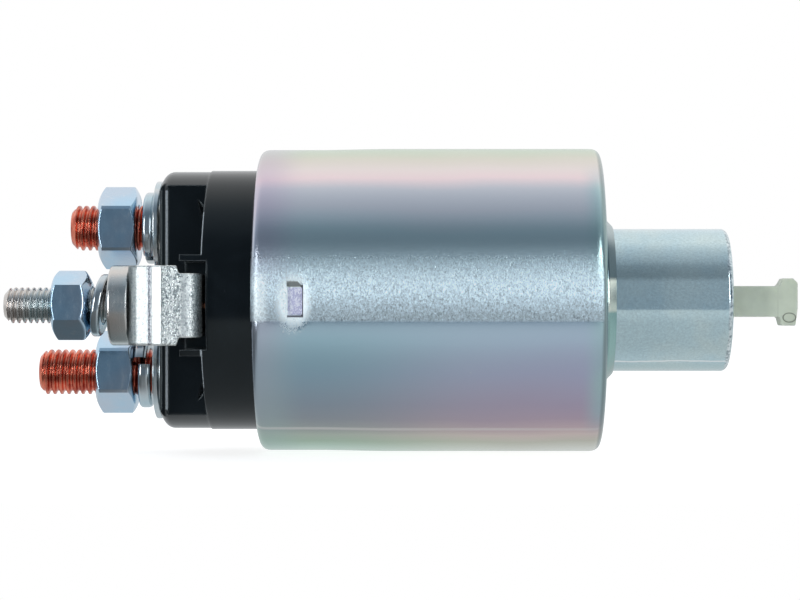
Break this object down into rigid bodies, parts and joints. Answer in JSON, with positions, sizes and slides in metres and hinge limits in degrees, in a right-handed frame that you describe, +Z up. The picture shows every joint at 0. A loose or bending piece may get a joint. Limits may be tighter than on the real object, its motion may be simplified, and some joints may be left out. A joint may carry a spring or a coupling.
{
  "type": "starter solenoid",
  "caption": "Electromagnetic switch with a zinc-plated steel cup, black terminal cap with copper studs, and a spring-loaded plunger with a T-headed nylon hook.",
  "frame": {"origin": "on the solenoid's axis, in the plane of the drive-end face, midway between the fixing holes", "axes": "+X along the axis from the terminal cap to the pull hook, +Z up from the motor stud to the battery stud, -Y towards the control terminal"},
  "size_m": [0.1352, 0.0537, 0.0531],
  "materials": {
    "zinc_shell": "iridescent clear zinc plating over drawn steel",
    "zinc_bright": "bright zinc plating",
    "zinc_crystal": "crinkled bright zinc plating",
    "plunger_zinc": "smooth ground and zinc plated",
    "copper": "bare rolled copper",
    "black_phenolic": "glossy moulded phenolic",
    "natural_nylon": "satin translucent nylon",
    "bobbin_nylon": "moulded nylon",
    "sleeve_brass": "drawn brass",
    "enamelled_wire": "enamelled winding wire",
    "wrap_paper": "varnished insulating wrap",
    "core_steel": "turned soft iron",
    "spring_steel": "drawn spring wire",
    "black_rubber": "matte nitrile rubber",
    "insulator": "moulded phenolic paper"
  },
  "bodies": {
    "housing": {"yoke_shell": "zinc_shell", "guide_sleeve": "sleeve_brass", "bobbin_wave_washer": "spring_steel", "coil_bobbin": "bobbin_nylon", "pull_in_winding": "enamelled_wire", "hold_in_winding": "enamelled_wire", "winding_wrap": "wrap_paper", "stationary_core": "core_steel", "cap_gasket": "black_rubber", "terminal_cap": "black_phenolic", "battery_stud": "copper", "motor_stud": "copper", "stud_seals": "black_rubber", "plain_washers": "zinc_bright", "spring_washers": "zinc_bright", "terminal_nuts": "zinc_bright", "signal_stud": "zinc_bright", "signal_nut": "zinc_bright", "signal_spring_washer": "zinc_bright", "signal_strap": "zinc_crystal", "signal_lead": "enamelled_wire", "motor_lead": "enamelled_wire", "earth_lead": "enamelled_wire", "contact_return_spring": "spring_steel", "plunger_return_spring": "spring_steel"},
    "plunger": {"plunger": "plunger_zinc", "hook_retainer": "core_steel", "hook_spring": "spring_steel"},
    "hook": {"pull_hook": "natural_nylon", "hook_spring_seat": "core_steel"},
    "contact_rod": {"contact_rod": "core_steel", "rod_clip": "spring_steel", "contact_spring": "spring_steel"},
    "contact_disc": {"contact_disc": "copper", "disc_front_insulator": "insulator", "disc_rear_insulator": "insulator"}
  },
  "joints": [
    {"name": "plunger_slide", "type": "slide", "parent": "housing", "child": "plunger", "axis": [-1, 0, 0], "range_m": [0, 0.01], "stiffness_N_per_m": 700, "springref_m": -0.012, "deforming": ["plunger_return_spring"]},
    {"name": "hook_slide", "type": "slide", "parent": "plunger", "child": "hook", "axis": [1, 0, 0], "range_m": [0, 0.008], "stiffness_N_per_m": 3000, "springref_m": -0.004, "deforming": ["hook_spring"]},
    {"name": "contact_rod_slide", "type": "slide", "parent": "housing", "child": "contact_rod", "axis": [-1, 0, 0], "range_m": [0, 0.003], "deforming": ["contact_return_spring"]},
    {"name": "contact_disc_slide", "type": "slide", "parent": "contact_rod", "child": "contact_disc", "axis": [1, 0, 0], "range_m": [0, 0.0008], "deforming": ["contact_spring"]}
  ],
  "couplings": [
    {"joint": "contact_rod_slide", "follows": "plunger_slide", "ratio": 0.3},
    {"joint": "contact_disc_slide", "follows": "plunger_slide", "ratio": 0.08}
  ]
}
